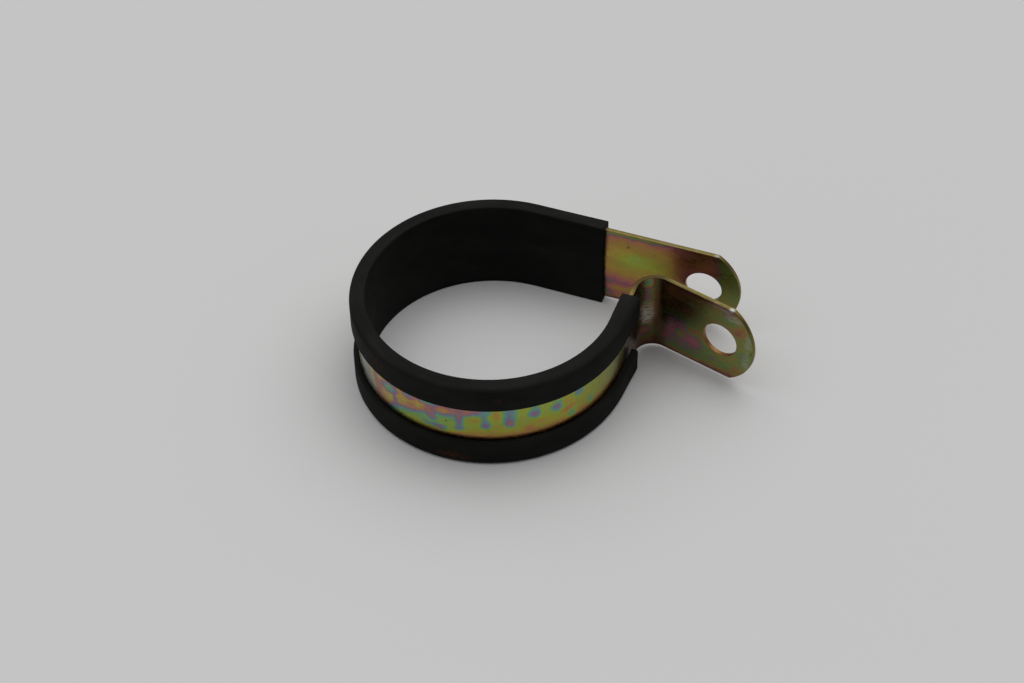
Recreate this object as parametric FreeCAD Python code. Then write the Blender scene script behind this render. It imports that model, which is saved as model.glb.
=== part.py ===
# Rubber-lined P clamp for a hose or pipe, sprung open as it lies before it is fitted.
#
# One steel strip makes a loop with a flat tab at each end, and each tab has a screw hole.
# A rubber channel wraps the loop: its pad faces the hose, and its two lips hold the strip.
#
# Millimetres. The origin is the centre of the loop at mid-width, with +Z along the bore.
# The rear tab leaves the loop along +X, and the strip runs anticlockwise round the loop,
# up a short straight, round a tight bend and out along the front tab.

import FreeCAD
import Part
import math
import os
from FreeCAD import Placement
from FreeCAD import Rotation
from FreeCAD import Vector

# The loop
bore_radius = 27.0          # inside of the rubber
loop_sweep = 271.5          # degrees of arc from the rear tab to the front straight
tab_spread = 15.0           # degrees by which the front tab points away from the rear one

# The strip
strip_width = 20.0
strip_thickness = 1.0
bend_radius = 4.2           # inside the tight bend
bare_run = 4.0              # straight strip between the rubber's front end and the bend

# The tabs
hole_diameter = 8.4         # clearance hole for an M8 screw
rear_reach = 39.6           # from the loop's tangent point to the rear hole
front_reach = 14.2          # from the bend to the front hole
hole_to_end = 8.5           # from a hole's centre to the crown of the tab's end
end_fullness = 1.8          # by how much the end's radius exceeds half the strip's width

# The rubber channel
pad_thickness = 1.2         # between the hose and the strip
side_thickness = 1.2        # over each edge of the strip
lip_thickness = 1.2         # over the strip's outer face
lip_reach = 5.2             # how far each lip covers that face
grip_clearance = 0.05       # between the strip and the channel, all round
rim_radius = 1.1            # outer corners of the channel
bore_bevel = 0.6            # corners of the channel beside the hose
lip_tip_bevel = 0.35        # outer free edges of the lips
rear_cover = 16.2           # channel beyond the loop's tangent point, on the rear tab
bearing_gap = 0.3           # from the rubber's rear end to the face that bears on a wall
front_cover = 8.4           # channel beyond the loop's arc, on the front straight

# Radii, counted outwards from the bore's axis
groove_inner = bore_radius + pad_thickness
strip_inner = groove_inner + grip_clearance
strip_outer = strip_inner + strip_thickness
groove_outer = strip_outer + grip_clearance
liner_outer = groove_outer + lip_thickness

# Half heights, counted from mid-width
strip_half = strip_width / 2
groove_half = strip_half + grip_clearance
liner_half = groove_half + side_thickness
lip_edge = groove_half - lip_reach

hole_radius = hole_diameter / 2
end_radius = strip_half + end_fullness
front_straight = front_cover + bare_run
rear_root = rear_cover + bearing_gap
bend_turn = loop_sweep - 180 + tab_spread

Z = Vector(0, 0, 1)
ORIGIN = Vector(0, 0, 0)


def rounded_face(corners):
    """A face in the plane x = 0 from (y, z, radius) corners, each rounded by its radius."""
    edges = []
    last = None
    first = None
    count = len(corners)
    for i in range(count):
        before = Vector(0, corners[i - 1][0], corners[i - 1][1])
        here = Vector(0, corners[i][0], corners[i][1])
        after = Vector(0, corners[(i + 1) % count][0], corners[(i + 1) % count][1])
        radius = corners[i][2]
        to_before = (before - here).normalize()
        to_after = (after - here).normalize()
        start = here + to_before * radius
        end = here + to_after * radius
        if last is None:
            first = start
        else:
            edges.append(Part.makeLine(last, start))
        if radius > 0:
            # The corners are square, so the arc's middle lies on the diagonal.
            diagonal = (to_before + to_after).normalize()
            middle = here + diagonal * radius * (math.sqrt(2) - 1)
            edges.append(Part.Arc(start, middle, end).toShape())
        last = end
    edges.append(Part.makeLine(last, first))
    return Part.Face(Part.Wire(edges))


def at_front_end(shape, along):
    """The shape from the loop's start, carried round the arc and `along` the front straight."""
    moved = shape.copy()
    moved.rotate(ORIGIN, Z, loop_sweep)
    moved.translate(front_direction * along)
    return moved


def one_solid(whole):
    """The solid in a shape, or the shape as it is where it holds several."""
    return whole.Solids[0] if len(whole.Solids) == 1 else whole


def joined(pieces):
    """Runs that meet end to end, as one solid without the faces between them."""
    return one_solid(pieces[0].fuse(pieces[1:]).removeSplitter())


def tab(reach):
    """A flat tab along +X from the origin, its lower face at y = 0, with its screw hole."""
    centre_x = reach + hole_to_end - end_radius
    corner_x = centre_x + math.sqrt(end_radius**2 - strip_half**2)
    low_root = Vector(0, 0, -strip_half)
    low_corner = Vector(corner_x, 0, -strip_half)
    crown = Vector(reach + hole_to_end, 0, 0)
    high_corner = Vector(corner_x, 0, strip_half)
    high_root = Vector(0, 0, strip_half)
    outline = Part.Wire([
        Part.makeLine(low_root, low_corner),
        Part.Arc(low_corner, crown, high_corner).toShape(),
        Part.makeLine(high_corner, high_root),
        Part.makeLine(high_root, low_root),
    ])
    plate = Part.Face(outline).extrude(Vector(0, strip_thickness, 0))
    hole_start = Vector(reach, -strip_thickness, 0)
    hole = Part.makeCylinder(hole_radius, 3 * strip_thickness, hole_start, Vector(0, 1, 0))
    return plate.cut(hole)


# Directions at the end of the arc: outwards from the axis, and on along the front straight
front_angle = math.radians(90 + loop_sweep)
front_outward = Vector(math.cos(front_angle), math.sin(front_angle), 0)
front_direction = Vector(-math.sin(front_angle), math.cos(front_angle), 0)

# The strip, run by run: rear root, loop, front straight, tight bend, front tab, rear tab.
strip_section = rounded_face([
    (strip_inner, -strip_half, 0),
    (strip_outer, -strip_half, 0),
    (strip_outer, strip_half, 0),
    (strip_inner, strip_half, 0),
])
root = strip_section.extrude(Vector(rear_root, 0, 0))
loop = strip_section.revolve(ORIGIN, Z, loop_sweep)
straight = at_front_end(strip_section, 0).extrude(front_direction * front_straight)

bend_centre = front_outward * (strip_outer + bend_radius) + front_direction * front_straight
bend = at_front_end(strip_section, front_straight).revolve(bend_centre, Z, -bend_turn)

# The bend ends where its radius points square to the front tab.
tab_normal = Rotation(Z, -tab_spread).multVec(Vector(0, 1, 0))
front_tab = tab(front_reach)
front_tab.Placement = Placement(bend_centre + tab_normal * bend_radius, Rotation(Z, -tab_spread))

# The rear tab is added last and keeps faces of its own, from just past the rubber to its
# end, because only that part of the strip bears on the wall that the clamp is screwed to.
rear_tab = tab(rear_reach - rear_root)
rear_tab.translate(Vector(rear_root, strip_inner, 0))
strap = one_solid(joined([root, loop, straight, bend, front_tab]).fuse(rear_tab))

# The rubber channel: one section, extruded and carried round the loop on the strip.
rim = min(rim_radius, 0.45 * (liner_outer - bore_radius), side_thickness + lip_reach / 2)
ease = min(bore_bevel, 0.45 * (liner_outer - bore_radius))
tip = min(lip_tip_bevel, 0.9 * lip_thickness, lip_reach / 2)
liner_section = rounded_face([
    (bore_radius, ease - liner_half, 0),
    (bore_radius + ease, -liner_half, 0),
    (liner_outer, -liner_half, rim),
    (liner_outer, -lip_edge - tip, 0),
    (liner_outer - tip, -lip_edge, 0),
    (groove_outer, -lip_edge, 0),
    (groove_outer, -groove_half, 0),
    (groove_inner, -groove_half, 0),
    (groove_inner, groove_half, 0),
    (groove_outer, groove_half, 0),
    (groove_outer, lip_edge, 0),
    (liner_outer - tip, lip_edge, 0),
    (liner_outer, lip_edge + tip, 0),
    (liner_outer, liner_half, rim),
    (bore_radius + ease, liner_half, 0),
    (bore_radius, liner_half - ease, 0),
])
liner_rear = liner_section.extrude(Vector(rear_cover, 0, 0))
liner_loop = liner_section.revolve(ORIGIN, Z, loop_sweep)
liner_front = at_front_end(liner_section, 0).extrude(front_direction * front_cover)
rubber_liner = joined([liner_rear, liner_loop, liner_front])

os.makedirs("parts", exist_ok=True)
nodes = {
    "strap": strap,
    "rubber_liner": rubber_liner,
}
for name, shape in nodes.items():
    shape.exportStep(os.path.join("parts", name + ".step"))
    box = shape.BoundBox
    size = "%.2f x %.2f x %.2f mm" % (box.XLength, box.YLength, box.ZLength)
    print(name, "solids", len(shape.Solids), "valid", shape.isValid(), size, "%.1f mm3" % shape.Volume)
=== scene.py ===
# %% [markdown]
# # A rubber-lined P clamp, sprung open
#
# The clamp is two pieces. One steel strip is bent to a P: a loop, and two flat tabs with a
# screw hole in each. A rubber channel wraps the loop. Its pad would face the hose, and its
# two lips hold the strip, so a band of bare metal shows between them.
#
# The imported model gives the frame: real sizes in metres, with +Z along the bore. Everything
# made here sits in that frame, so no piece has to be fitted by eye.

# %% Load the fixed frame
import math

import bmesh
import bpy
from mathutils import Matrix, Vector


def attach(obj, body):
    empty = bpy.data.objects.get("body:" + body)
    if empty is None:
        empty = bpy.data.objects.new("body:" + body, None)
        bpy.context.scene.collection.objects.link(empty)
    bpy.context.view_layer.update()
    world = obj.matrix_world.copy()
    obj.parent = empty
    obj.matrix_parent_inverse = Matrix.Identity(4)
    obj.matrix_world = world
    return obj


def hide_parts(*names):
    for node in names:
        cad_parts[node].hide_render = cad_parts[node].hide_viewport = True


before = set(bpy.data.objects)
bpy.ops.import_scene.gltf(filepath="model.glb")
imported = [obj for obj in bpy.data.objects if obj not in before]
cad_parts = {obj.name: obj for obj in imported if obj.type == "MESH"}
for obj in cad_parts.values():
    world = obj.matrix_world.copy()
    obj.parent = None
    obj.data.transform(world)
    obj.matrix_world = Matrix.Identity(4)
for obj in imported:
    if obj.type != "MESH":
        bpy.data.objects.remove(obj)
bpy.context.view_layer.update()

print("nodes in the frame:", sorted(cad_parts))

# %% [markdown]
# ## Sizes
#
# The same few sizes shape both pieces, so each is written once, in millimetres as a maker
# would read them off a drawing, and turned into metres on the spot. Radii are counted from
# the axis of the bore, and half heights from the middle of the strip's width.

# %% Sizes of the clamp
MM = 0.001

bore_radius = 27.0 * MM
groove_inner = 28.2 * MM        # floor of the channel's groove
strip_inner = 28.25 * MM        # the strip's bore side
lip_inner = 29.3 * MM           # underside of the lips
liner_outer = 30.5 * MM
strip_thickness = 1.0 * MM

strip_half = 10.0 * MM
groove_half = 10.05 * MM
liner_half = 11.25 * MM
lip_edge = 4.85 * MM            # free edge of each lip

loop_sweep = 271.5              # degrees from the rear tab to the front straight
tab_spread = 15.0               # degrees between the tabs
bend_radius = 4.2 * MM          # inside the tight bend
rear_cover = 16.2 * MM          # rubber beyond the loop, on the rear tab
front_cover = 8.4 * MM          # rubber beyond the loop, on the front straight
front_straight = 12.4 * MM      # from the loop to the tight bend
rear_reach = 39.6 * MM          # from the loop to the rear hole
front_reach = 14.2 * MM         # from the tight bend to the front hole
hole_radius = 4.2 * MM
end_radius = 11.8 * MM          # radius of a tab's rounded end
crown = 8.5 * MM                # from a hole's middle to the end of its tab

strip_outer = strip_inner + strip_thickness
end_set_back = crown - end_radius
floor_height = -liner_half


def in_mm(length):
    """A length in metres as millimetres, rounded for printing."""
    return round(length / MM, 2)


print("strip", in_mm(2 * strip_half), "mm wide, floor at", in_mm(floor_height), "mm")

# %% [markdown]
# The loop ends a little past the +X axis. There the strip runs straight for a moment, goes
# round a tight bend and leaves as the front tab. A point on that route is easiest to give by
# directions: outwards from the bore, forwards along the strip, and the lie of the front tab.

# %% Directions at the front end
AXIS = Vector((0, 0, 1))


def turned(direction, degrees):
    """The direction, turned anticlockwise round the bore's axis."""
    return Matrix.Rotation(math.radians(degrees), 3, AXIS) @ Vector(direction)


front_outward = turned((0, 1, 0), loop_sweep)
front_forward = turned((-1, 0, 0), loop_sweep)
bend_turn = loop_sweep - 180 + tab_spread
bend_centre = front_outward * (strip_outer + bend_radius) + front_forward * front_straight
tab_along = turned((1, 0, 0), -tab_spread)
tab_normal = turned((0, 1, 0), -tab_spread)
print("the tight bend turns by", bend_turn, "degrees about", [in_mm(v) for v in bend_centre])

# %% [markdown]
# ## Handling the mesh tools
#
# Every tool in Blender acts on what is selected, and the frame's own nodes start out
# selected. So each step begins by clearing the selection, and picks faces or edges by where
# they are. The helpers below do only that, and leave the modelling to the tools themselves.

# %% Helpers for selecting
def clear_selection():
    if bpy.context.mode != "OBJECT":
        bpy.ops.object.mode_set(mode="OBJECT")
    bpy.ops.object.select_all(action="DESELECT")


def choose(piece):
    """Selects one piece alone and makes it the active one, which the tools act on."""
    clear_selection()
    piece.select_set(True)
    bpy.context.view_layer.objects.active = piece


def new_piece(name):
    """The piece that a primitive has just added, named and open for editing."""
    piece = bpy.context.active_object
    piece.name = name
    piece.data.name = name
    bpy.ops.object.mode_set(mode="EDIT")
    return piece


def open_for_editing(piece):
    """Chooses a piece and goes into edit mode with it."""
    choose(piece)
    bpy.ops.object.mode_set(mode="EDIT")


def pick(piece, kind, test):
    """Selects the vertices, edges or faces whose middle passes the test, and counts them."""
    bpy.ops.mesh.select_mode(type={"verts": "VERT", "edges": "EDGE", "faces": "FACE"}[kind])
    bpy.ops.mesh.select_all(action="DESELECT")
    mesh = bmesh.from_edit_mesh(piece.data)
    count = 0
    for part in getattr(mesh, kind):
        middle = part.co if kind == "verts" else (
            sum((v.co for v in part.verts), Vector()) / len(part.verts))
        if test(middle):
            part.select_set(True)
            count += 1
    mesh.select_flush_mode()
    bmesh.update_edit_mesh(piece.data)
    return count


def slice_at(point, normal, clear_far=False, clear_near=False):
    """Cuts the whole mesh with a plane, and may clear the side that the normal points to."""
    bpy.ops.mesh.select_all(action="SELECT")
    bpy.ops.mesh.bisect(plane_co=point, plane_no=normal, clear_outer=clear_far,
                        clear_inner=clear_near)


def near(a, b, within=0.02 * MM):
    """Whether two lengths are the same, apart from rounding."""
    return abs(a - b) < within


# %% [markdown]
# A bent strip and an extruded channel are both one section that follows a path. A curve with
# a bevel could draw them at once, but its ends and corners are hard to place exactly. So the
# section is drawn out run by run: extruding makes a straight run, and spinning a round one.

# %% Helpers for drawing out a section
def draw_out(offset):
    """Extrudes what is selected by an offset and leaves the new end selected."""
    bpy.ops.mesh.extrude_region_move(TRANSFORM_OT_translate={"value": offset})


def carry_round(centre, degrees, steps):
    """Spins what is selected anticlockwise round the bore's axis, seen from above."""
    bpy.ops.mesh.spin(steps=steps, angle=-math.radians(degrees), center=centre, axis=AXIS)


# %% [markdown]
# ## The steel strip
#
# The real strip is punched flat, with rounded ends, and then wrapped round a former. Here
# its bore side is drawn as a thin sheet in the same order as the strip runs: a rounded end,
# the rear tab, the loop, a short straight, the tight bend and the front tab. The sheet gets
# its thickness at the end, so both faces stay exactly one millimetre apart.
#
# A rounded end is a disc that two straight cuts trim to the strip's width. The disc is a
# little wider than the strip, so the end is a shallow arc with two soft corners.

# %% The rounded end of a tab
rear_plate = rear_reach + end_set_back
clear_selection()
bpy.ops.mesh.primitive_circle_add(
    vertices=120, radius=end_radius, fill_type="NGON",
    location=(rear_plate, strip_inner, 0), rotation=(math.pi / 2, 0, 0))
bpy.ops.object.transform_apply(location=True, rotation=True, scale=True)
strap = new_piece("clamp_strap")
slice_at((0, 0, strip_half), (0, 0, 1), clear_far=True)
slice_at((0, 0, -strip_half), (0, 0, -1), clear_far=True)
slice_at((rear_plate, 0, 0), (1, 0, 0), clear_near=True)
bpy.ops.object.mode_set(mode="OBJECT")
print("rounded end:", len(strap.data.vertices), "points on its outline")

# %% [markdown]
# Both tabs end alike, so the second end is a copy of the first. It is turned by the angle
# between the tabs and moved to where the front tab will reach.

# %% The same end for the front tab
front_end = strap.copy()
front_end.data = strap.data.copy()
bpy.context.scene.collection.objects.link(front_end)
front_start = bend_centre + tab_normal * (bend_radius + strip_thickness)
front_plate = front_reach + end_set_back
front_end.data.transform(
    Matrix.Translation(front_start + tab_along * front_plate)
    @ Matrix.Rotation(math.radians(-tab_spread), 4, AXIS)
    @ Matrix.Translation((-rear_plate, -strip_inner, 0)))
print("front end's plate starts", in_mm(front_plate), "mm past the bend")

# %% [markdown]
# Now the straight cut edge of the first end is drawn out along the strip's route. An edge
# that is extruded leaves a flat run, and one that is spun leaves a curved run. The steps are
# about a millimetre on the loop and much finer in the bend, whose curve is seen close up.

# %% Run the sheet round the loop
loop_steps = 136
bend_steps = 40
open_for_editing(strap)
pick(strap, "edges", lambda m: near(m.x, rear_plate) and near(m.z, 0))
draw_out((-rear_plate, 0, 0))
carry_round((0, 0, 0), loop_sweep, loop_steps)
draw_out(front_forward * front_straight)
carry_round(bend_centre, -bend_turn, bend_steps)
draw_out(tab_along * front_plate)
bpy.ops.object.mode_set(mode="OBJECT")
print("sheet reaches", [in_mm(v) for v in strap.data.vertices[-1].co])

# %% [markdown]
# The sheet ends exactly where the loose front end begins. Joining makes one object of the two,
# and merging the points that lie on each other closes the seam. Every face then has to look
# away from the hose, because the thickness is added on the side that the faces look to.

# %% Weld the front end on
choose(strap)
front_end.select_set(True)
bpy.ops.object.join()
open_for_editing(strap)
bpy.ops.mesh.select_all(action="SELECT")
bpy.ops.mesh.remove_doubles(threshold=0.005 * MM)
bpy.ops.mesh.normals_make_consistent(inside=False)
sheet = bmesh.from_edit_mesh(strap.data)
loop_face = min(sheet.faces, key=lambda f: f.calc_center_median().y)
if loop_face.normal.y > 0:
    bpy.ops.mesh.flip_normals()
bpy.ops.object.mode_set(mode="OBJECT")
print("sheet:", len(strap.data.polygons), "faces, all looking away from the hose")

# %% [markdown]
# Solidify turns the sheet into one millimetre of steel on the side that its faces look to.
# The screw holes are punched by two plain cylinders, and a fine bevel breaks every sharp
# edge, because sheet metal that has been through a press and a plating bath has no razor
# edges: the small rounding is what catches the light along a tab.

# %% Thickness, holes and broken edges
def apply_modifier(piece, kind, name, **settings):
    """Puts a modifier on a piece, sets it up and makes its result the piece's mesh."""
    modifier = piece.modifiers.new(name, kind)
    for key, value in settings.items():
        setattr(modifier, key, value)
    choose(piece)
    bpy.ops.object.modifier_apply(modifier=name)


apply_modifier(strap, "SOLIDIFY", "thickness", thickness=strip_thickness, offset=1.0,
               use_even_offset=True)
rear_hole = Vector((rear_reach, strip_inner + strip_thickness / 2, 0))
front_hole = (bend_centre + tab_normal * (bend_radius + strip_thickness / 2)
              + tab_along * front_reach)
for place, turn in ((rear_hole, 0), (front_hole, -tab_spread)):
    clear_selection()
    bpy.ops.mesh.primitive_cylinder_add(
        vertices=72, radius=hole_radius, depth=6 * strip_thickness, location=place,
        rotation=(math.pi / 2, 0, math.radians(turn)))
    punch = bpy.context.active_object
    apply_modifier(strap, "BOOLEAN", "punch", operation="DIFFERENCE", object=punch, solver="EXACT")
    bpy.data.objects.remove(punch)
edge_rounding = 0.13 * MM
apply_modifier(strap, "BEVEL", "broken edges", width=edge_rounding, segments=3,
               limit_method="ANGLE", angle_limit=math.radians(40), harden_normals=True)
print("strap:", len(strap.data.polygons), "faces after punching and bevelling")

# %% [markdown]
# ## The rubber channel
#
# Rubber like this is pushed through a die, so it has one section from end to end. The
# section is drawn first: a flat plate is cut along the lines of the groove, the groove's
# squares are deleted, and the rest becomes one C-shaped face. Its corners are rounded while
# it is still flat, where a vertex bevel gives a true arc.

# %% The channel's section
clear_selection()
bpy.ops.mesh.primitive_plane_add(
    size=1.0, location=(rear_cover, (bore_radius + liner_outer) / 2, 0),
    rotation=(0, math.pi / 2, 0))
liner = new_piece("clamp_liner")
bpy.ops.object.mode_set(mode="OBJECT")
liner.scale = (2 * liner_half, liner_outer - bore_radius, 1.0)
bpy.ops.object.transform_apply(location=True, rotation=True, scale=True)
open_for_editing(liner)
for radius in (groove_inner, lip_inner):
    slice_at((0, radius, 0), (0, 1, 0))
for height in (-groove_half, -lip_edge, lip_edge, groove_half):
    slice_at((0, 0, height), (0, 0, 1))
pick(liner, "faces", lambda m: groove_inner < m.y < lip_inner and abs(m.z) < groove_half)
bpy.ops.mesh.delete(type="FACE")
pick(liner, "faces", lambda m: m.y > lip_inner and abs(m.z) < lip_edge)
bpy.ops.mesh.delete(type="FACE")
pick(liner, "faces", lambda m: True)
bpy.ops.mesh.dissolve_faces(use_verts=False)
bpy.ops.object.mode_set(mode="OBJECT")
print("section:", len(liner.data.polygons), "face with", len(liner.data.vertices), "points")

# %% [markdown]
# The die rounds the outer rim most, and the corners beside the hose and the lips' tips less.
# Each kind of corner is picked by where it lies, and a bigger radius gets more steps.

# %% Round the section's corners
open_for_editing(liner)
corners = (
    # The outer rim, the corner beside the hose, and the outer and inner edge of a lip's tip
    (lambda m: near(m.y, liner_outer) and near(abs(m.z), liner_half), 1.1 * MM, 7),
    (lambda m: near(m.y, bore_radius) and near(abs(m.z), liner_half), 0.4 * MM, 4),
    (lambda m: near(m.y, liner_outer) and near(abs(m.z), lip_edge), 0.4 * MM, 5),
    (lambda m: near(m.y, lip_inner) and near(abs(m.z), lip_edge), 0.15 * MM, 3),
)
for test, radius, steps in corners:
    print("rounding", pick(liner, "verts", test), "corners by", in_mm(radius), "mm")
    bpy.ops.mesh.bevel(offset=radius, segments=steps, affect="VERTICES", profile=0.5)

# %% [markdown]
# The section stands at the channel's cut end on the rear tab. From there it is drawn along
# the tab, spun round the loop and drawn a little way up the front straight. Extruding a face
# keeps the mesh closed, so the rubber is a solid piece with two cut ends. A straight run ends
# in three short steps, which at the front leave enough points to round the cut end.

# %% Draw the channel out along the strip
short_steps = [step * MM for step in (0.25, 0.15, 0.08)]


def steps_over(length, count):
    """Equal steps, and then the short ones, that add up to the length."""
    return [(length - sum(short_steps)) / count] * count + short_steps


pick(liner, "faces", lambda m: True)
for step in steps_over(rear_cover, 10):
    draw_out((-step, 0, 0))
carry_round((0, 0, 0), loop_sweep, loop_steps)
for step in steps_over(front_cover, 6):
    draw_out(front_forward * step)
bpy.ops.mesh.select_all(action="SELECT")
bpy.ops.mesh.remove_doubles(threshold=0.002 * MM)
bpy.ops.mesh.normals_make_consistent(inside=False)
choose(liner)
bpy.ops.object.shade_smooth_by_angle(angle=math.radians(35))
print("channel:", len(liner.data.polygons), "faces")

# %% [markdown]
# ## A place along the strip for every point
#
# The plating's colours and the rubber's die lines follow the strip, not the room. So each
# point of both pieces is told where it would lie if the strip were pulled straight: how far
# along, how far across, and how far out from the strip's bore side. All are in millimetres,
# counted from where the rear tab meets the loop.

# %% Where a point lies on the strip
loop_length = math.radians(loop_sweep) * strip_outer / MM
straight_length = front_straight / MM
bend_length = math.radians(bend_turn) * (bend_radius + strip_thickness / 2) / MM
bend_start = loop_length + straight_length
tab_start = bend_start + bend_length
inside_bore = 24 * MM       # nearer to the bore's axis than any point of the clamp


def place_on_strip(point):
    """(along, across, out) in millimetres of a point on the clamp."""
    flat = Vector((point.x, point.y, 0))
    past_loop = flat.dot(front_forward)
    outward = flat.dot(front_outward)
    across = point.z / MM
    if point.x >= 0 and point.y > inside_bore:
        return -point.x / MM, across, (point.y - strip_inner) / MM
    if point.x > 0 and past_loop > 0 and outward > inside_bore:
        from_bend = flat - bend_centre
        along_tab = from_bend.dot(tab_along)
        if along_tab > 0 and from_bend.dot(tab_normal) > 0:
            return (tab_start + along_tab / MM, across,
                    (bend_radius + strip_thickness - from_bend.dot(tab_normal)) / MM)
        if past_loop > front_straight:
            turn = math.degrees((-front_outward).angle(from_bend))
            return (bend_start + bend_length * turn / bend_turn, across,
                    (bend_radius + strip_thickness - from_bend.length) / MM)
        return loop_length + past_loop / MM, across, (outward - strip_inner) / MM
    angle = math.degrees(math.atan2(point.y, point.x)) - 90
    if angle < -0.001:      # not quite 0, so that a rounded-off start stays the start
        angle += 360
    return (math.radians(angle) * strip_outer / MM, across, (flat.length - strip_inner) / MM)


print("loop, straight, bend and front tab start at",
      [round(v, 1) for v in (0, loop_length, bend_start, tab_start)], "mm")

# %% [markdown]
# A lip that was cut off at its end is no longer pulled in by its neighbour, so it opens a
# little. The points of the channel move outwards towards both cut ends, the lips most and the
# pad not at all. At the front end the cut is also rounded over: the last points sink in along
# a quarter circle, fully at the channel's outer faces and less and less towards its inside.

# %% Let the lips open at the cut ends
LIP_OPENING = 0.75          # at the front end, where it is widest
REAR_OPENING = 0.45         # the rear end's share, before it is squared
OPENS_FROM = 130.0          # along the strip
OPENS_OVER = 17.0
CUT_ROUNDING = 0.4
SINKS_OVER = 1.05           # depth below the outer faces down to which the cut is rounded
lip_top = (liner_outer - strip_inner) / MM
side_face = liner_half / MM
front_cut = loop_length + front_cover / MM


def held(value):
    """The value, held between 0 and 1."""
    return min(max(value, 0.0), 1.0)


def sinking(depth, to_end):
    """How far in a point sinks, by its depth below a face and its distance to the cut end."""
    drop = math.sqrt(CUT_ROUNDING ** 2 - max(CUT_ROUNDING - to_end, 0.0) ** 2)
    return max(SINKS_OVER - depth, 0.0) / SINKS_OVER * (CUT_ROUNDING - drop)


for vertex in liner.data.vertices:
    along, across, out = place_on_strip(vertex.co)
    to_front = held((along - OPENS_FROM) / OPENS_OVER)
    to_rear = REAR_OPENING * held(-along * MM / rear_cover)
    opening = LIP_OPENING * held(out / lip_top) * max(to_front, to_rear) ** 2
    outward = front_outward if to_front > 0 else Vector((0, 1, 0))
    if to_front > 0 and along < loop_length:
        outward = Vector((vertex.co.x, vertex.co.y, 0)).normalized()
    vertex.co += outward * (opening * MM)
    to_end = max(front_cut - along, 0.0)
    if to_end < CUT_ROUNDING:
        vertex.co -= outward * (sinking(lip_top - out, to_end) * MM)
        vertex.co.z -= math.copysign(sinking(side_face - abs(across), to_end) * MM, across)
print("the lips open by", LIP_OPENING, "mm at the front")

# %% [markdown]
# Blender keeps such values in an attribute, with one entry for each point, and a material can
# read it by its name. It is written now that the points have moved for the last time.

# %% Write the place on every point
for piece in (strap, liner):
    places = piece.data.attributes.new("place", "FLOAT_VECTOR", "POINT")
    for vertex, entry in zip(piece.data.vertices, places.data):
        entry.vector = place_on_strip(vertex.co)
    values = [entry.vector.x for entry in places.data]
    print(piece.name, "runs from", round(min(values), 1), "to", round(max(values), 1), "mm")

# %% [markdown]
# The sheared edges look unlike the rolled faces. They could have a second material, but a mark
# on each face keeps the strip in one. A face is marked if it lies between the two sides of the
# sheet, and the roundings along the edges lie there too.

# %% Mark the strip's cut edges
on_a_side = 0.005
cut_marks = strap.data.attributes.new("cut_edge", "FLOAT", "FACE")
for face, entry in zip(strap.data.polygons, cut_marks.data):
    out = place_on_strip(face.center)[2]
    entry.value = 1.0 if on_a_side < out < 1 - on_a_side else 0.0
print("cut edge faces:", sum(1 for entry in cut_marks.data if entry.value > 0.5))

# %% [markdown]
# ## Floor, light and camera
#
# The clamp lies on a plain pale board under broad, soft light from above and a little
# behind, in a room that is darker towards the camera. The camera looks down at 44 degrees
# through a lens of about 74 mm, and is rolled by one degree.

# %% Floor
clear_selection()
bpy.ops.mesh.primitive_plane_add(size=6.0, location=(0, 0.4, floor_height))
floor = bpy.context.active_object
floor.name = "board"
bpy.ops.object.transform_apply(location=True, rotation=True, scale=True)


def new_material(name):
    """A new material, with its node tree and the shader that the patterns are joined to."""
    material = bpy.data.materials.new(name)
    material.use_nodes = True
    return material, material.node_tree, material.node_tree.nodes["Principled BSDF"]


board, tree, shader = new_material("pale board")
shader.inputs["Base Color"].default_value = (0.56, 0.56, 0.56, 1)
shader.inputs["Roughness"].default_value = 0.75
shader.inputs["Specular IOR Level"].default_value = 0.2
floor.data.materials.append(board)
print("board at", in_mm(floor_height), "mm, under the edge of the rubber")

# %% [markdown]
# The light is a ceiling of soft patches, each given by the compass direction and the height
# that it shines from. It is strongest overhead and from behind the clamp, and hardly any comes
# from the side of the camera. That leaves the soft shadow inside the loop and in front of
# the rubber, and it lets the steel mirror a bright board and a dark room. Area lamps could do
# the same, but their edges would show in the steel, and a patch of sky has none.

# %% Light from a soft ceiling
PATCH_EDGE = math.cos(math.radians(40))
PATCH_CORE = math.cos(math.radians(10))
# Compass direction, height above the board, both in degrees, and strength
SKY = (
    (0, 90, 1.07), (0, 52, 0.62), (60, 52, 1.20), (120, 52, 0.58), (180, 52, 0.85),
    (240, 52, 0.28), (300, 52, 0.06), (135, 18, 0.42), (180, 18, 0.13), (225, 18, 0.45),
)
world = bpy.data.worlds.new("soft ceiling")
bpy.context.scene.world = world
world.use_nodes = True
sky = world.node_tree
direction = sky.nodes.new("ShaderNodeTexCoord").outputs["Generated"]
total = None
for compass, height, strength in SKY:
    facing = sky.nodes.new("ShaderNodeVectorMath")
    facing.operation = "DOT_PRODUCT"
    facing.inputs[1].default_value = turned(
        (math.cos(math.radians(height)), 0, math.sin(math.radians(height))), compass)
    sky.links.new(direction, facing.inputs[0])
    patch = sky.nodes.new("ShaderNodeMapRange")
    patch.interpolation_type = "SMOOTHSTEP"
    patch.inputs["From Min"].default_value = PATCH_EDGE
    patch.inputs["From Max"].default_value = PATCH_CORE
    patch.inputs["To Max"].default_value = strength
    sky.links.new(facing.outputs["Value"], patch.inputs["Value"])
    if total is None:
        total = patch.outputs["Result"]
    else:
        both = sky.nodes.new("ShaderNodeMath")
        both.operation = "ADD"
        sky.links.new(total, both.inputs[0])
        sky.links.new(patch.outputs["Result"], both.inputs[1])
        total = both.outputs["Value"]
sky.links.new(total, sky.nodes["Background"].inputs["Strength"])
sky.nodes["Background"].inputs["Color"].default_value = (1, 1, 1, 1)
print("ceiling of", len(SKY), "soft patches")

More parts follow.
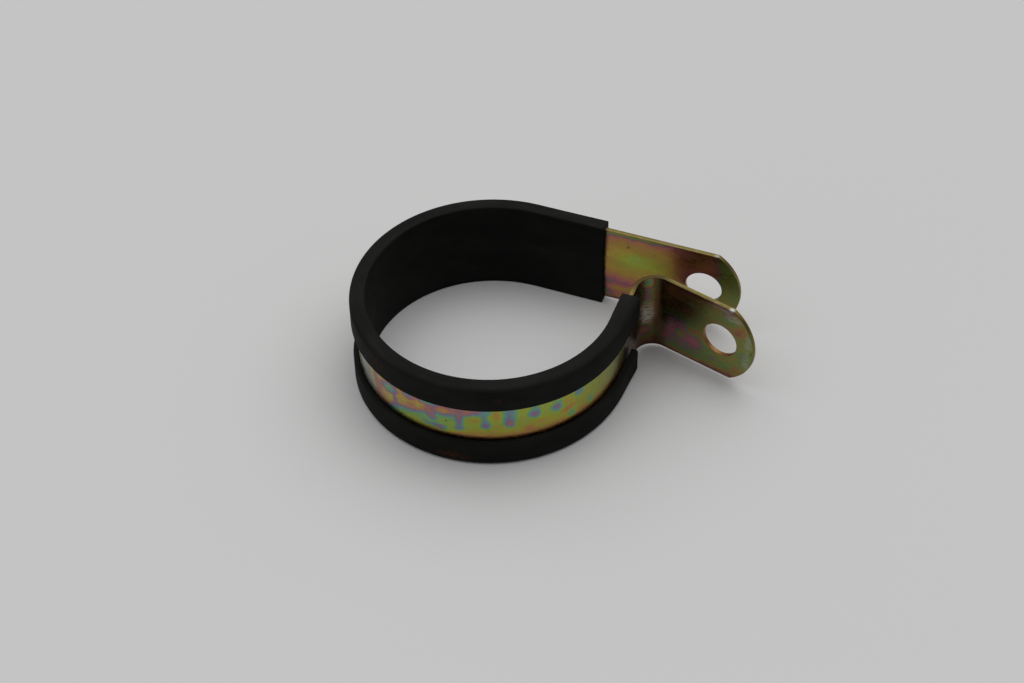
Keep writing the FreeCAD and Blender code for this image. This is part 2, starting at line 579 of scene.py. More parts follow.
# %% [markdown]
# The camera stands where the clamp was photographed from. A camera in Blender looks along its
# own -Z, so its three directions are worked out first: back towards the viewer, right along
# the horizon, and up. The roll then turns right and up together round the line of sight.

# %% Camera
camera_place = Vector((128.58, -307.83, 321.89)) * MM
camera_aim = Vector((1.56, 8.08, -11.25)) * MM
back = (camera_place - camera_aim).normalized()
level_right = AXIS.cross(back).normalized()
level_up = back.cross(level_right)
roll = math.radians(-1.0)
right = level_right * math.cos(roll) + level_up * math.sin(roll)
up = level_up * math.cos(roll) - level_right * math.sin(roll)
lens = bpy.data.cameras.new("photo_view")
lens.lens = 74.44
lens.sensor_width = 36.0
lens.clip_start = 0.01
camera = bpy.data.objects.new("photo_view", lens)
bpy.context.scene.collection.objects.link(camera)
pose = Matrix((right, up, back)).transposed().to_4x4()
pose.translation = camera_place
camera.matrix_world = pose
bpy.context.scene.camera = camera
bpy.context.scene.view_settings.view_transform = "Standard"
print("camera looks down by", round(math.degrees(math.asin(back.z)), 2), "degrees")

# %% [markdown]
# ## Node patterns
#
# A pattern here is a chain of small sums. The helpers below add one node each and join it up:
# a number is set on the node's own socket, and a socket is linked to it. The renderer works
# nodes out in the order in which they were made and can hold only so many half-done sums, so
# every node is made after the nodes that feed it.

# %% Helpers for node trees
def join(tree, value, socket):
    """Links a socket to another one, or sets it to a plain value."""
    if isinstance(value, bpy.types.NodeSocket):
        tree.links.new(value, socket)
    else:
        socket.default_value = value


def calc(tree, operation, *values):
    """One step of arithmetic on numbers."""
    node = tree.nodes.new("ShaderNodeMath")
    node.operation = operation
    for value, socket in zip(values, node.inputs):
        join(tree, value, socket)
    return node.outputs["Value"]


def calc_vector(tree, operation, *values, output="Vector"):
    """One step of arithmetic on places."""
    node = tree.nodes.new("ShaderNodeVectorMath")
    node.operation = operation
    for value, socket in zip(values, node.inputs):
        join(tree, value, socket)
    return node.outputs[output]


def fade(tree, value, start, end, low=0.0, high=1.0):
    """Goes smoothly from low to high while the value goes from start to end."""
    node = tree.nodes.new("ShaderNodeMapRange")
    node.interpolation_type = "SMOOTHSTEP"
    for name, entry in (("Value", value), ("From Min", start), ("From Max", end),
                        ("To Min", low), ("To Max", high)):
        join(tree, entry, node.inputs[name])
    return node.outputs["Result"]


def noise(tree, place, stretch, detail=2.0, output="Fac"):
    """Soft noise, with so many waves to the millimetre along, across and out of the strip."""
    stretched = calc_vector(tree, "MULTIPLY", place, stretch)
    node = tree.nodes.new("ShaderNodeTexNoise")
    node.inputs["Scale"].default_value = 1.0
    node.inputs["Detail"].default_value = detail
    join(tree, stretched, node.inputs["Vector"])
    return node.outputs[output]


def mix_number(tree, factor, low, high):
    node = tree.nodes.new("ShaderNodeMix")
    for value, socket in ((factor, node.inputs[0]), (low, node.inputs[2]), (high, node.inputs[3])):
        join(tree, value, socket)
    return node.outputs[0]


def mix_colour(tree, factor, low, high):
    node = tree.nodes.new("ShaderNodeMix")
    node.data_type = "RGBA"
    for value, socket in ((factor, node.inputs[0]), (low, node.inputs[6]), (high, node.inputs[7])):
        join(tree, value, socket)
    return node.outputs[2]


def place_of_point(tree):
    """The place along, across and out of the strip that was written on every point."""
    node = tree.nodes.new("ShaderNodeAttribute")
    node.attribute_name = "place"
    return node.outputs["Vector"]


# %% [markdown]
# A pattern that is needed more than once goes into a node group, as a helper goes into a
# function. Its sockets are named for what they take and what they give.

# %% Helpers for node groups
def new_group(name, inputs, outputs):
    """An empty node group with the named sockets: its tree, and where to read and write."""
    tree = bpy.data.node_groups.new(name, "ShaderNodeTree")
    for way, sockets in (("INPUT", inputs), ("OUTPUT", outputs)):
        for title, kind in sockets:
            tree.interface.new_socket(title, in_out=way, socket_type="NodeSocket" + kind)
    return (tree, tree.nodes.new("NodeGroupInput").outputs,
            tree.nodes.new("NodeGroupOutput").inputs)


def use_group(tree, group, settings, output):
    """Puts a group into a tree, with its sockets filled by name, and gives one output."""
    node = tree.nodes.new("ShaderNodeGroup")
    node.node_tree = group
    for title, value in settings.items():
        join(tree, value, node.inputs[title])
    return node.outputs[output]


def screen_colour(red, green, blue):
    """A colour as read off a screen, from 0 to 255, turned into Blender's linear values."""
    parts = [c / 255 for c in (red, green, blue)]
    return [c / 12.92 if c <= 0.04045 else ((c + 0.055) / 1.055) ** 2.4 for c in parts] + [1.0]


# %% [markdown]
# The strip is zinc-plated and then passivated yellow, which leaves a film so thin that light
# is mirrored from both its faces. The two mirrored waves cancel one colour, and which one
# depends on how thick the film is. So the plating is painted with a single number, the film's
# thickness, and one ramp turns it into colour: silver, straw, gold, rose, violet, blue, green,
# and then round again, duller each time. A stain then gets its rings of colour by itself.

# %% From film thickness to colour
FILM_TOP = 1.6
FILM_COLOURS = (
    (0.00, (143, 146, 138)), (0.10, (175, 168, 135)), (0.20, (189, 177, 108)),
    (0.27, (188, 160, 86)), (0.34, (188, 138, 96)), (0.41, (170, 122, 124)),
    (0.47, (145, 124, 148)), (0.53, (123, 142, 160)), (0.60, (117, 163, 148)),
    (0.67, (132, 175, 104)), (0.75, (158, 177, 78)), (0.84, (170, 168, 68)),
    (0.92, (182, 152, 74)), (0.99, (186, 134, 86)), (1.06, (184, 116, 104)),
    (1.13, (162, 102, 116)), (1.20, (130, 115, 106)), (1.28, (118, 138, 80)),
    (1.37, (138, 134, 74)), (1.46, (158, 118, 76)), (1.55, (136, 88, 80)),
)
film_colour, source, result = new_group(
    "film colour", [("Film", "Float")], [("Color", "Color")])
share = calc(film_colour, "DIVIDE", source["Film"], FILM_TOP)
ramp = film_colour.nodes.new("ShaderNodeValToRGB")
ramp.color_ramp.interpolation = "EASE"
stops = ramp.color_ramp.elements
while len(stops) < len(FILM_COLOURS):
    stops.new(1.0)
for stop, (film, colour) in zip(stops, FILM_COLOURS):
    stop.position = film / FILM_TOP
    stop.color = screen_colour(*colour)
film_colour.links.new(share, ramp.inputs["Fac"])
film_colour.links.new(ramp.outputs["Color"], result["Color"])
print("film ramp has", len(stops), "colours")

# %% [markdown]
# A stain is an oval where the film tends to another thickness. It has a size in all three
# directions, so a stain on one face of the strip doesn't show on the other. A run is what a
# drop leaves when it creeps down while the bath drains off: a straight trail with a round tip.
# Both groups take a value and give it back with one mark laid over it, so they can be chained.
# The same oval later serves for scuffs, chips and pits.

# %% Stains and runs in the film
MARK_DEPTH = 0.6            # so shallow that a mark doesn't show on the strip's other face
stain, source, result = new_group(
    "film stain",
    [("Film", "Float"), ("Place", "Vector"), ("Middle", "Vector"), ("Lean", "Float"),
     ("Size", "Vector"), ("Film There", "Float")],
    [("Film", "Float")])
from_middle = calc_vector(stain, "SUBTRACT", source["Place"], source["Middle"])
lean = stain.nodes.new("ShaderNodeVectorRotate")
lean.rotation_type = "Z_AXIS"
stain.links.new(from_middle, lean.inputs["Vector"])
stain.links.new(source["Lean"], lean.inputs["Angle"])
distance = calc_vector(stain, "LENGTH", calc_vector(
    stain, "DIVIDE", lean.outputs["Vector"], source["Size"]), output="Value")
stain.links.new(mix_number(stain, fade(stain, distance, 1.7, 0.2), source["Film"],
                           source["Film There"]), result["Film"])

run, source, result = new_group(
    "film run",
    [("Film", "Float"), ("Place", "Vector"), ("Tip", "Vector"), ("Width", "Float"),
     ("Film There", "Float")],
    [("Film", "Float")])
from_tip = calc_vector(run, "SUBTRACT", source["Place"], source["Tip"])
split = run.nodes.new("ShaderNodeSeparateXYZ")
run.links.new(from_tip, split.inputs[0])
aside = calc(run, "DIVIDE", split.outputs["X"], source["Width"])
below = calc(run, "DIVIDE", calc(run, "MINIMUM", split.outputs["Y"], 0.0), source["Width"])
behind = calc(run, "DIVIDE", split.outputs["Z"], MARK_DEPTH)
trail = run.nodes.new("ShaderNodeCombineXYZ")
for value, socket in zip((aside, below, behind), trail.inputs):
    run.links.new(value, socket)
distance = calc_vector(run, "LENGTH", trail.outputs["Vector"], output="Value")
run.links.new(mix_number(run, fade(run, distance, 1.9, 0.1), source["Film"],
                         source["Film There"]), result["Film"])


def with_stain(value, place, middle, half_length, half_height, there, angle=0.0,
               depth=MARK_DEPTH):
    """The value in the tree at hand, tending to `there` inside one oval."""
    return use_group(tree, stain, {
        "Film": value, "Place": place, "Middle": middle, "Lean": math.radians(angle),
        "Size": (half_length, half_height, depth), "Film There": there}, "Film")


print("a stain takes", len(stain.nodes), "nodes and a run", len(run.nodes))

# %% [markdown]
# Grain and dust lie on both materials. Grain is a fine unevenness that is drawn out along the
# strip, as rolling and the rubber's die leave it. Dust is a sprinkling of small specks, which
# gather in cloudy patches.

# %% Grain and dust
grain, source, result = new_group(
    "grain", [("Place", "Vector"), ("Fineness", "Float")], [("Height", "Float")])
scaled = calc_vector(grain, "MULTIPLY", source["Place"], (0.12, 1.0, 1.0))
scale = grain.nodes.new("ShaderNodeVectorMath")
scale.operation = "SCALE"
grain.links.new(scaled, scale.inputs[0])
grain.links.new(source["Fineness"], scale.inputs["Scale"])
lines = noise(grain, scale.outputs["Vector"], (1, 1, 1), detail=3.0)
pores = noise(grain, calc_vector(grain, "MULTIPLY", scale.outputs["Vector"], (8.3, 1, 1)),
              (2, 2, 2))
grain.links.new(mix_number(grain, 0.4, lines, pores), result["Height"])

dust, source, result = new_group(
    "dust", [("Place", "Vector"), ("Amount", "Float")], [("Mask", "Float")])
clouds = fade(dust, noise(dust, source["Place"], (0.12, 0.25, 0.5), 4.0), 0.42, 0.7)
cells = dust.nodes.new("ShaderNodeTexVoronoi")
cells.inputs["Scale"].default_value = 1.6
dust.links.new(source["Place"], cells.inputs["Vector"])
specks = fade(dust, cells.outputs["Distance"], 0.16, 0.05)
dust.links.new(calc(dust, "MULTIPLY", source["Amount"], calc(
    dust, "ADD", clouds, calc(dust, "MULTIPLY", specks, clouds))), result["Mask"])
print("node groups:", sorted(group.name for group in bpy.data.node_groups))

# %% [markdown]
# ## The film on the strip
#
# First comes the film's slow change over each part of the strip. On both tabs it is thin in
# the middle and thickens to the edges and round the holes, where the bath clings longest.
# On the loop it thickens only towards the lower edge. All of this reads the place after a
# little noise has shaken it, so that no change and no stain has a clean outline.

# %% Film thickness over the whole strip
steel, tree, shader = new_material("plated steel")
place = place_of_point(tree)
drift = calc_vector(tree, "MULTIPLY", calc_vector(tree, "SUBTRACT", noise(
    tree, place, (0.8, 0.8, 3.0), 2.0, "Color"), (0.5, 0.5, 0.5)), (1.3, 1.3, 0.0))
wandering = calc_vector(tree, "ADD", place, drift)
parts = tree.nodes.new("ShaderNodeSeparateXYZ")
tree.links.new(wandering, parts.inputs[0])
along, across, out = parts.outputs
inner_face = fade(tree, out, 0.7, 0.3)


def bowl(middle, half_width, depth):
    """Film that thickens to both edges of the strip, slowly at first and then fast."""
    offset = calc(tree, "ABSOLUTE", calc(tree, "SUBTRACT", across, middle))
    return calc(tree, "MULTIPLY", calc(
        tree, "POWER", calc(tree, "DIVIDE", offset, half_width), 2.6), depth)


# Film on the loop, then the rear tab, the front tab and the bend
on_loop = calc(tree, "ADD", fade(tree, across, -0.8, -3.9, 0.78, 0.97),
               fade(tree, along, 108.0, 128.0, 0.0, 0.03))
on_rear = calc(tree, "ADD", calc(tree, "MULTIPLY", bowl(
    mix_number(tree, inner_face, -1.0, 2.2), 7.0, fade(tree, across, 1.0, 5.0, 0.30, 0.22)),
    fade(tree, along, -29.0, -36.0, 1.0, 0.2)), fade(tree, along, -29.0, -36.0, 0.86, 1.02))
on_rear = calc(tree, "ADD", on_rear, fade(tree, along, -21.0, -16.0, 0.0, 0.06))
on_rear = calc(tree, "ADD", on_rear, fade(tree, along, -40.5, -45.0, 0.0, 0.28))
on_front = calc(tree, "ADD", bowl(mix_number(tree, inner_face, -0.5, 2.5), 9.0, 0.10), 1.31)
on_front = mix_number(tree, fade(tree, along, 157.0, 160.5), 1.48, on_front)
# The parts put together, and a thicker seam along the long edges, except at the rear end
film = mix_number(tree, fade(tree, along, 141.5, 144.0), on_loop, on_front)
film = mix_number(tree, fade(tree, along, -1.0, -9.0), film, on_rear)
film = calc(tree, "ADD", film, calc(tree, "MULTIPLY", fade(
    tree, calc(tree, "ABSOLUTE", across), 8.5, 9.7, 0.0, 0.22), fade(tree, along, -33.0, -27.0)))
print("the film's slow changes take", len(tree.nodes), "nodes")

# %% [markdown]
# Some of the bath stayed under the upper lip and ran down over the front left of the loop, so
# the film there is much thinner. Its edge wanders down and up again, and a curve with a few
# points draws it.

# %% The edge of the thin film
CURVE_LENGTH = 140.0
CURVE_HEIGHT = 14.0
position_on_curve = calc(tree, "DIVIDE", along, CURVE_LENGTH)
edge_line = tree.nodes.new("ShaderNodeFloatCurve")
edge_points = edge_line.mapping.curves[0].points
# Along, and the edge's height across the strip
EDGE_OF_RUN = (
    (0.0, -7.0), (74.0, -7.0), (77.0, -4.2), (80.0, -2.2), (82.9, -1.1), (86.4, -0.1),
    (89.0, 0.9), (91.5, 1.9), (95.0, 2.1), (98.0, 2.6), (100.5, 3.6), (104.5, 5.2),
    (110.0, 7.0), (140.0, 7.0),
)
for number, (position, height) in enumerate(EDGE_OF_RUN):
    point = (position / CURVE_LENGTH, height / CURVE_HEIGHT + 0.5)
    if number in (0, len(EDGE_OF_RUN) - 1):
        edge_points[-1 if number else 0].location = point
    else:
        edge_points.new(*point)
edge_line.mapping.update()
tree.links.new(position_on_curve, edge_line.inputs["Value"])
edge_height = calc(tree, "MULTIPLY", calc(
    tree, "SUBTRACT", edge_line.outputs["Value"], 0.5), CURVE_HEIGHT)
below_edge = calc(tree, "SUBTRACT", edge_height, across)
print("the thin film's edge is drawn with", len(EDGE_OF_RUN), "points")

# %% [markdown]
# Above the edge the film gets thinner with the distance, down to a thickness of its own. That
# one changes from left to right, from bare silver to straw and then rose, and breaks up into
# soft blotches. Below the edge the film thickens until it meets the film of the rest of the
# loop. One maximum and one minimum do both, so nothing has to be cut out by hand.

# %% The thin film at the left of the loop
slanted = calc(tree, "ADD", along, calc(tree, "MULTIPLY", across, 0.4))
thin = mix_number(tree, fade(tree, slanted, 71.2, 73.8), 0.03, 0.39)
thin = mix_number(tree, fade(tree, slanted, 74.2, 76.8), thin, 0.25)
thin = mix_number(tree, fade(tree, along, 86.5, 88.5), thin, 0.41)
blotches = calc(tree, "SUBTRACT", noise(tree, place, (0.55, 0.8, 3.0)), 0.5)
thin = calc(tree, "ADD", thin, calc(tree, "MULTIPLY", blotches, fade(
    tree, along, 70.0, 75.0, 0.1, 0.32)))
at_edge = calc(tree, "ADD", calc(tree, "MULTIPLY", calc(
    tree, "POWER", calc(tree, "MAXIMUM", below_edge, 0.0), 0.6), 0.19), calc(
    tree, "MULTIPLY", calc(tree, "MINIMUM", below_edge, 0.0), 0.16))
at_edge = calc(tree, "ADD", at_edge, 0.42)
at_edge = calc(tree, "MINIMUM", calc(tree, "MAXIMUM", at_edge, thin), film)
front_of_loop = calc(tree, "MULTIPLY", fade(tree, along, 58.0, 64.0), fade(
    tree, along, 112.0, 106.0))
film = mix_number(tree, front_of_loop, film, at_edge)
print("with the thin film it takes", len(tree.nodes), "nodes")

# %% [markdown]
# The rest of the colour is single marks: drops that dried and left a ring, and runs below the
# upper lip. Noise could scatter them, but each is big enough to be known by its place, so each
# has a row in a table. Those on the back of the loop are made up in the same style.

# %% Single stains
# Along, across, out (1 is the outer face, 0 the bore side), lean, half sizes, film there
STAINS = (
    # The front of the loop
    (74.4, -2.9, 1, 0, 0.9, 1.0, 0.42), (76.7, -2.4, 1, 30, 1.4, 0.8, 0.34),
    (78.4, 1.6, 1, -10, 2.4, 1.3, 0.66), (80.3, -0.4, 1, -8, 0.6, 2.0, 0.49),
    (84.0, 3.0, 1, 0, 1.7, 0.8, 0.54), (84.8, 0.9, 1, 0, 1.1, 0.7, 0.35),
    (82.0, 0.6, 1, 0, 1.2, 0.9, 0.24), (88.9, 3.5, 1, 0, 2.4, 0.6, 0.60),
    (92.0, -1.6, 1, 0, 4.0, 1.7, 0.70), (98.6, 0.2, 1, 0, 2.2, 1.8, 0.73),
    (89.9, 0.2, 1, 0, 1.0, 1.3, 0.40), (88.6, -2.4, 1, 20, 1.4, 0.8, 0.56),
    (92.6, 2.6, 1, 0, 1.2, 0.8, 0.34), (91.4, -2.5, 1, 5, 1.5, 0.75, 0.44),
    (99.4, 0.9, 1, 0, 1.6, 1.0, 0.89), (104.1, 2.6, 1, 0, 0.9, 1.6, 0.94),
    (104.2, -0.9, 1, 0, 1.6, 0.7, 0.88), (111.0, -2.4, 1, 0, 1.2, 1.0, 1.02),
    (114.0, -1.2, 1, 0, 2.6, 0.8, 0.92), (119.6, 2.3, 1, 0, 1.8, 1.0, 0.90),
    (120.0, -0.3, 1, -20, 1.9, 0.8, 0.98), (120.9, -2.2, 1, 0, 1.3, 1.0, 0.60),
    (126.3, -1.5, 1, 0, 1.0, 1.3, 0.62), (122.8, 2.7, 1, 0, 1.3, 0.9, 0.55),
    (101.7, -0.5, 1, 0, 1.1, 1.0, 0.46),
    (112.1, 1.6, 1, 0, 1.25, 1.15, 0.40), (117.3, 1.7, 1, -20, 1.3, 1.25, 0.42),
    # The front tab
    (163.5, 3.8, 1, 0, 4.8, 4.2, 1.44), (164.0, -3.4, 1, 10, 7.5, 4.6, 1.18),
    (163.2, -2.2, 1, 15, 4.2, 2.7, 1.12), (159.8, -6.0, 1, 0, 1.5, 1.9, 1.09),
    (163.9, -3.6, 1, 0, 1.2, 0.9, 1.45), (167.3, -4.2, 1, 0, 1.8, 1.6, 1.10),
    (167.3, -1.2, 1, 0, 1.6, 1.2, 1.46), (169.8, -0.8, 1, 0, 1.1, 2.6, 1.34),
    (178.7, 4.9, 1, 0, 1.6, 1.9, 1.50), (175.5, 6.2, 1, 0, 2.8, 0.9, 1.26),
    (175.0, 8.0, 1, 0, 0.9, 0.7, 1.12), (178.8, 1.3, 1, 0, 1.2, 1.6, 1.27),
    (179.6, -1.9, 1, 0, 1.5, 1.4, 1.23), (168.8, 2.6, 1, 0, 1.8, 1.8, 1.27),
    (172.3, -6.5, 1, 0, 1.0, 0.6, 1.14), (175.2, -6.9, 1, 0, 1.8, 1.1, 1.29),
    (178.4, -6.9, 1, 0, 1.3, 0.9, 1.45), (162.2, 7.6, 1, 0, 3.0, 1.2, 1.45),
    # The tight bend
    (154.9, 8.8, 1, 0, 2.4, 1.6, 0.61), (152.7, 6.8, 1, 0, 1.2, 2.0, 1.28),
    (157.6, 7.8, 1, 0, 1.0, 1.6, 1.30), (157.6, 0.0, 1, 0, 1.3, 6.0, 1.52),
    (154.8, 5.0, 1, 0, 1.5, 2.2, 1.13), (153.9, -5.2, 1, 25, 2.8, 1.7, 1.03),
    # The rear tab
    (-23.6, 2.6, 0, 0, 3.0, 1.9, 0.77), (-21.0, -6.6, 0, 0, 6.0, 1.3, 0.93),
    (-21.0, -8.6, 0, 0, 6.0, 1.2, 1.01), (-20.5, -4.0, 0, 0, 1.6, 0.7, 1.08),
    # The back of the loop
    (12.0, -1.8, 1, 0, 3.0, 0.8, 0.92), (27.5, -0.6, 1, 10, 2.0, 1.0, 0.90),
    (48.5, -2.6, 1, -10, 2.2, 0.8, 0.96), (58.0, -0.4, 1, 0, 1.4, 1.2, 0.88),
)
for at_along, at_across, at_out, angle, half_length, half_height, there in STAINS:
    film = with_stain(film, wandering, (at_along, at_across, at_out), half_length, half_height,
                      there, angle)
print(len(STAINS), "single stains")

# %% [markdown]
# A run starts under the upper lip, where the bath was held back, and ends in a round tip. At
# some of the tips a drop has dried, which is a stain of its own.

# %% Runs and their drops
# Along, the tip's height, half width, film there
RUNS = (
    (96.0, -0.4, 0.75, 0.46), (101.4, 0.6, 0.65, 0.58), (106.7, 1.0, 1.35, 0.52),
    (112.1, 3.0, 1.0, 0.62), (117.2, 3.2, 1.0, 0.68),
    (16.5, 1.6, 0.9, 0.60), (23.0, 2.6, 0.7, 0.66), (31.5, 0.4, 0.8, 0.48),
    (38.0, 2.0, 1.1, 0.56), (44.0, -0.8, 0.7, 0.44), (52.5, 1.2, 1.0, 0.62),
)
for at_along, tip, width, there in RUNS:
    film = use_group(tree, run, {
        "Film": film, "Place": wandering, "Tip": (at_along, tip, 1.0), "Width": width,
        "Film There": there}, "Film")
# Along, across, half sizes, film there
DROPS = (
    (106.7, -0.2, 1.0, 0.9, 0.38), (96.0, -1.7, 1.0, 0.8, 0.50), (31.5, 0.2, 1.2, 1.1, 0.42),
    (44.0, -1.2, 1.1, 1.0, 0.40),
)
for at_along, at_across, half_length, half_height, there in DROPS:
    film = with_stain(film, wandering, (at_along, at_across, 1.0), half_length, half_height,
                      there)
print(len(RUNS), "runs,", len(DROPS), "of them with a drop")

# %% [markdown]
# The bath also clings to the rim of a hole, so the film thickens there. Noise of three sizes
# then keeps every area from being one flat colour, and the finished thickness goes through the
# ramp just once.

# %% Thicker film round the holes, and its fine unevenness
front_hole_along = tab_start + front_reach / MM
for hole_along, ring in ((-rear_reach / MM, 0.05), (front_hole_along, 0.08)):
    from_hole = calc_vector(tree, "SUBTRACT", calc_vector(
        tree, "MULTIPLY", wandering, (1, 1, 0)), (hole_along, 0, 0))
    film = calc(tree, "ADD", film, fade(
        tree, calc_vector(tree, "LENGTH", from_hole, output="Value"), 7.0, 4.6, 0.0, ring))
for stretch, amount in (((0.1, 0.3, 2.0), 0.16), ((0.5, 0.9, 3.0), 0.10), ((2.0, 4.0, 2.0), 0.03)):
    unevenness = calc(tree, "SUBTRACT", noise(tree, place, stretch), 0.5)
    film = calc(tree, "ADD", film, calc(tree, "MULTIPLY", unevenness, amount))
plating = use_group(tree, film_colour, {"Film": film}, "Color")
print("the whole film takes", len(tree.nodes), "nodes")

# %% [markdown]
# Sheared edges tell how they were cut. The punch burnishes the first part of the thickness
# and tears the rest, so an edge has a smooth stripe and a rougher one. The plating there is a
# plain olive gold, darker round the bend and redder in the wall of the front hole.

# %% Cut edges
BEND_MIDDLE = 155.0


def around(value, middle, edge, core, high=1.0):
    """Goes from 0 to high as the value comes from `edge` to `core` away from the middle."""
    away = calc(tree, "ABSOLUTE", calc(tree, "SUBTRACT", value, middle))
    return fade(tree, away, edge, core, 0.0, high)


marked = tree.nodes.new("ShaderNodeAttribute")
marked.attribute_name = "cut_edge"
cut_edge = marked.outputs["Fac"]
torn = fade(tree, out, 0.45, 0.6)
in_bend = around(along, BEND_MIDDLE, 7.0, 3.0)
in_front_hole = around(along, front_hole_along, 5.6, 4.6)
in_front_hole = calc(tree, "MULTIPLY", in_front_hole, fade(
    tree, calc(tree, "ABSOLUTE", across), 6.0, 5.0))
edge_colour = mix_colour(tree, torn, screen_colour(130, 114, 66), screen_colour(103, 93, 54))
edge_colour = mix_colour(tree, fade(tree, noise(tree, place, (0.25, 0.5, 2.5)), 0.3, 0.7, 0, 0.5),
                         edge_colour, screen_colour(112, 106, 58))
edge_colour = mix_colour(tree, fade(tree, noise(tree, place, (0.6, 1.0, 4.0)), 0.55, 0.7, 0, 0.7),
                         edge_colour, screen_colour(150, 127, 94))
edge_colour = mix_colour(tree, in_bend, edge_colour, screen_colour(78, 66, 40))
edge_colour = mix_colour(tree, in_front_hole, edge_colour, screen_colour(134, 97, 58))
print("with its cut edges the strip takes", len(tree.nodes), "nodes")

# %% [markdown]
# Bending tools and other clamps have rubbed the plating through at the bend and at the tab's
# end. A scuff is an oval of bare grey metal, broken up by noise into short scratches. A trace
# of such scratches lies over the whole strip.

# %% Scuffs
scratched = fade(tree, noise(tree, place, (0.25, 5.0, 5.0), 4.0), 0.62, 0.74, 0.0, 0.5)
# Along, across, half sizes, strength
SCUFFS = (
    (154.6, 0.6, 2.1, 2.2, 1.0), (154.8, -1.6, 1.9, 1.5, 1.0), (177.0, 7.7, 1.8, 0.8, 0.8),
    (174.2, 9.2, 2.4, 0.5, 0.5), (181.0, 2.4, 0.8, 2.4, 0.4), (180.8, -3.2, 0.9, 2.0, 0.5),
)
scuffs = 0.0
for at_along, at_across, half_length, half_height, strength in SCUFFS:
    scuffs = with_stain(scuffs, wandering, (at_along, at_across, 1.0), half_length, half_height,
                        strength)
rubbed = calc(tree, "MULTIPLY", scuffs, fade(
    tree, noise(tree, place, (0.5, 2.6, 2.0), 3.0), 0.36, 0.52))
surface = mix_colour(tree, calc(tree, "MAXIMUM", rubbed, calc(
    tree, "MULTIPLY", scratched, 0.15)), plating, screen_colour(178, 178, 168))
print(len(SCUFFS), "scuffs")

# %% [markdown]
# The steel turns towards a dull brown on the short straight and round the bend. Past the
# middle of the bend and on a patch of the front tab this is painted shade, and along each lip
# of the rubber it is the lip's painted shadow; the end of the loop is a little darker as well.
# It is all one number, added up place by place, and the scuffs cut through it.

# %% Darker steel and painted shade
darkening_and_painted_shade = calc(tree, "MULTIPLY", fade(tree, along, 140.5, 143.5), fade(
    tree, along, 150.0, 153.0, 0.85, 0.55))
darkening_and_painted_shade = calc(tree, "MULTIPLY", darkening_and_painted_shade, fade(tree, along, 162.0, 156.5))
# Painted shade over the far side of the bend, where it meets the front tab.
darkening_and_painted_shade = calc(tree, "ADD", darkening_and_painted_shade, around(along, 158.6, 2.6, 0.8, 0.35))
# Painted shadow of the rubber's lips along both edges of the bare band, and a plain darkening over
# the end of the loop; both only where the rubber covers the strip.
painted_lip_shade_and_darker_loop_end = calc(tree, "MAXIMUM", fade(tree, along, 118.0, 138.0, 0.0, 0.3), fade(
    tree, calc(tree, "ABSOLUTE", across), 3.8, 4.85, 0.0, 0.65))
for start, end in ((-17.5, -16.0), (148.0, 146.0)):
    painted_lip_shade_and_darker_loop_end = calc(tree, "MULTIPLY", painted_lip_shade_and_darker_loop_end, fade(tree, along, start, end))
# A patch of painted shade on the front tab, just beyond the bend.
darkening_and_painted_shade = with_stain(calc(tree, "MAXIMUM", darkening_and_painted_shade, painted_lip_shade_and_darker_loop_end), wandering,
                     (166.5, 3.0, 1.0), 4.2, 3.4, 0.45)
darkening_and_painted_shade = calc(tree, "MULTIPLY", darkening_and_painted_shade, calc(tree, "SUBTRACT", 1.0, rubbed))
# Painted shade, and the plain darkening of the straight and the bend, mix the steel towards a dark
# brown.
surface = mix_colour(tree, darkening_and_painted_shade, surface, screen_colour(70, 52, 34))
surface = mix_colour(tree, cut_edge, surface, edge_colour)
print("with tarnish and edges the steel takes", len(tree.nodes), "nodes")

# %% [markdown]
# Three corners of the tabs have been knocked and shine like bare zinc. A few pits are spots
# where the plating failed, and they are brown and dull. Dust comes last, since it lies on top.

# %% Chips, pits and dust on the steel
# Along, across, out, how bare
CHIPS = ((176.3, 10.0, 0.8, 0.9), (-42.2, 10.0, 0.3, 0.4), (176.3, -10.0, 0.3, 0.7))
for at_along, at_across, at_out, bare in CHIPS:
    chipped = with_stain(0.0, place, (at_along, at_across, at_out), 0.6, 0.5, bare)
    surface = mix_colour(tree, chipped, surface, screen_colour(196, 196, 190))
# Along, across, out, radius
PITS = ((93.2, -0.36, 1.0, 0.28), (-21.8, 6.5, 0.0, 0.35), (-28.0, 6.0, 0.0, 0.16),
        (181.9, 0.0, 1.0, 0.3))
pits = 0.0
for at_along, at_across, at_out, radius in PITS:
    pits = with_stain(pits, place, (at_along, at_across, at_out), radius, radius, 0.75)
surface = mix_colour(tree, pits, surface, screen_colour(92, 62, 30))
steel_dust = use_group(tree, dust, {"Place": place, "Amount": 0.10}, "Mask")
surface = mix_colour(tree, steel_dust, surface, screen_colour(120, 112, 96))
tree.links.new(surface, shader.inputs["Base Color"])
shader.inputs["Metallic"].default_value = 1.0
print(len(CHIPS), "chipped corners and", len(PITS), "pits")

# %% [markdown]
# The plating is satin: it mirrors the board and the room, but softly. Cut edges, scuffs and
# dust are rougher. Rolled sheet is never quite flat, so broad shallow ripples bend what it
# mirrors a little. They are far too shallow to be seen in the outline, so a bump is enough.

# %% Roughness and relief of the steel
def raise_relief(height, depth):
    """Tilts the light on the surface at hand as a pattern with this depth would."""
    bump = tree.nodes.new("ShaderNodeBump")
    bump.inputs["Distance"].default_value = depth
    tree.links.new(height, bump.inputs["Height"])
    tree.links.new(bump.outputs["Normal"], shader.inputs["Normal"])


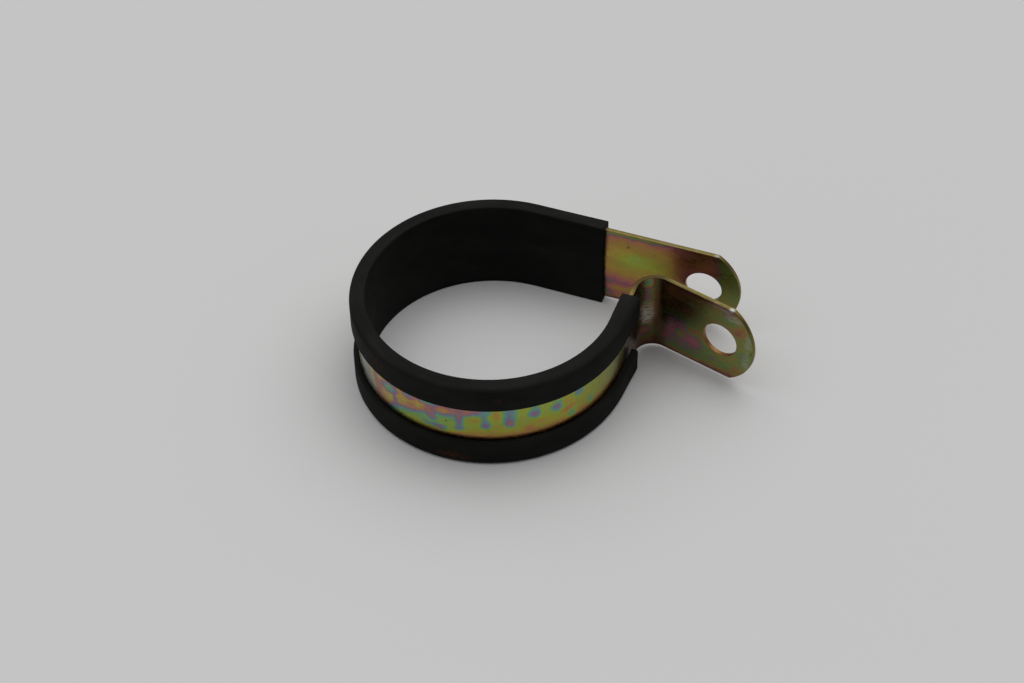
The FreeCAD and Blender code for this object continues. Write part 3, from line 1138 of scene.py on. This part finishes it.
steel_grain = use_group(tree, grain, {"Place": place, "Fineness": 5.0}, "Height")
roughness = calc(tree, "ADD", fade(tree, steel_grain, 0.3, 0.7, 0.25, 0.28), calc(
    tree, "MULTIPLY", calc(tree, "MAXIMUM", rubbed, cut_edge), 0.14))
tree.links.new(calc(tree, "ADD", roughness, steel_dust), shader.inputs["Roughness"])
ripples = noise(tree, place, (0.25, 0.4, 0.4), 1.0)
relief = calc(tree, "ADD", calc(tree, "MULTIPLY", ripples, 4.0), calc(
    tree, "MULTIPLY", steel_grain, 0.05))
raise_relief(relief, 0.0015 * MM)
strap.data.materials.clear()
strap.data.materials.append(steel)
print("plated steel has", len(tree.nodes), "nodes")

# %% [markdown]
# ## The rubber
#
# Black rubber that was pushed through a die is dull and nearly even, with faint lines along
# its length. Handling leaves a little grey dust on it, and the plated strip has rubbed off a
# few brownish marks on its lips.

# %% Matt black rubber
rubber, tree, shader = new_material("matt rubber")
place = place_of_point(tree)
clouds = noise(tree, place, (0.08, 0.3, 0.3), 3.0)
black = mix_colour(tree, fade(tree, clouds, 0.35, 0.65), screen_colour(22, 22, 21),
                   screen_colour(26, 26, 25))
# Along, across, half sizes, strength
MARKS = (
    (94.8, -9.2, 3.0, 1.0, 0.7), (104.8, 8.2, 1.3, 0.6, 0.35), (76.4, 8.2, 3.0, 1.2, 0.3),
    (52.0, -6.0, 2.0, 1.0, 0.4), (20.0, 7.5, 3.0, 1.2, 0.3),
)
marks = 0.0
for at_along, at_across, half_length, half_height, strength in MARKS:
    marks = with_stain(marks, place, (at_along, at_across, lip_top), half_length, half_height,
                       strength, depth=0.8)
marks = calc(tree, "MULTIPLY", marks, fade(
    tree, noise(tree, place, (0.9, 1.4, 1.0), 3.0), 0.35, 0.62))
black = mix_colour(tree, marks, black, screen_colour(70, 38, 16))
rubber_dust = use_group(tree, dust, {"Place": place, "Amount": 0.02}, "Mask")
black = mix_colour(tree, rubber_dust, black, screen_colour(104, 98, 88))
tree.links.new(black, shader.inputs["Base Color"])
rubber_grain = use_group(tree, grain, {"Place": place, "Fineness": 2.6}, "Height")
tree.links.new(fade(tree, rubber_grain, 0.3, 0.7, 0.62, 0.78), shader.inputs["Roughness"])
shader.inputs["Specular IOR Level"].default_value = 0.045
raise_relief(rubber_grain, 0.03 * MM)
liner.data.materials.clear()
liner.data.materials.append(rubber)
print("matt rubber has", len(tree.nodes), "nodes")

# %% [markdown]
# ## Into the frame
#
# Both pieces ride on the one body of the frame. Each takes the place of the plain solid that
# was made for it, which is hidden.

# %% Fit the pieces to the frame
for piece, node, slot in ((strap, "strap", "strap"), (liner, "rubber_liner", "rubber")):
    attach(piece, "root")
    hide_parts(node)
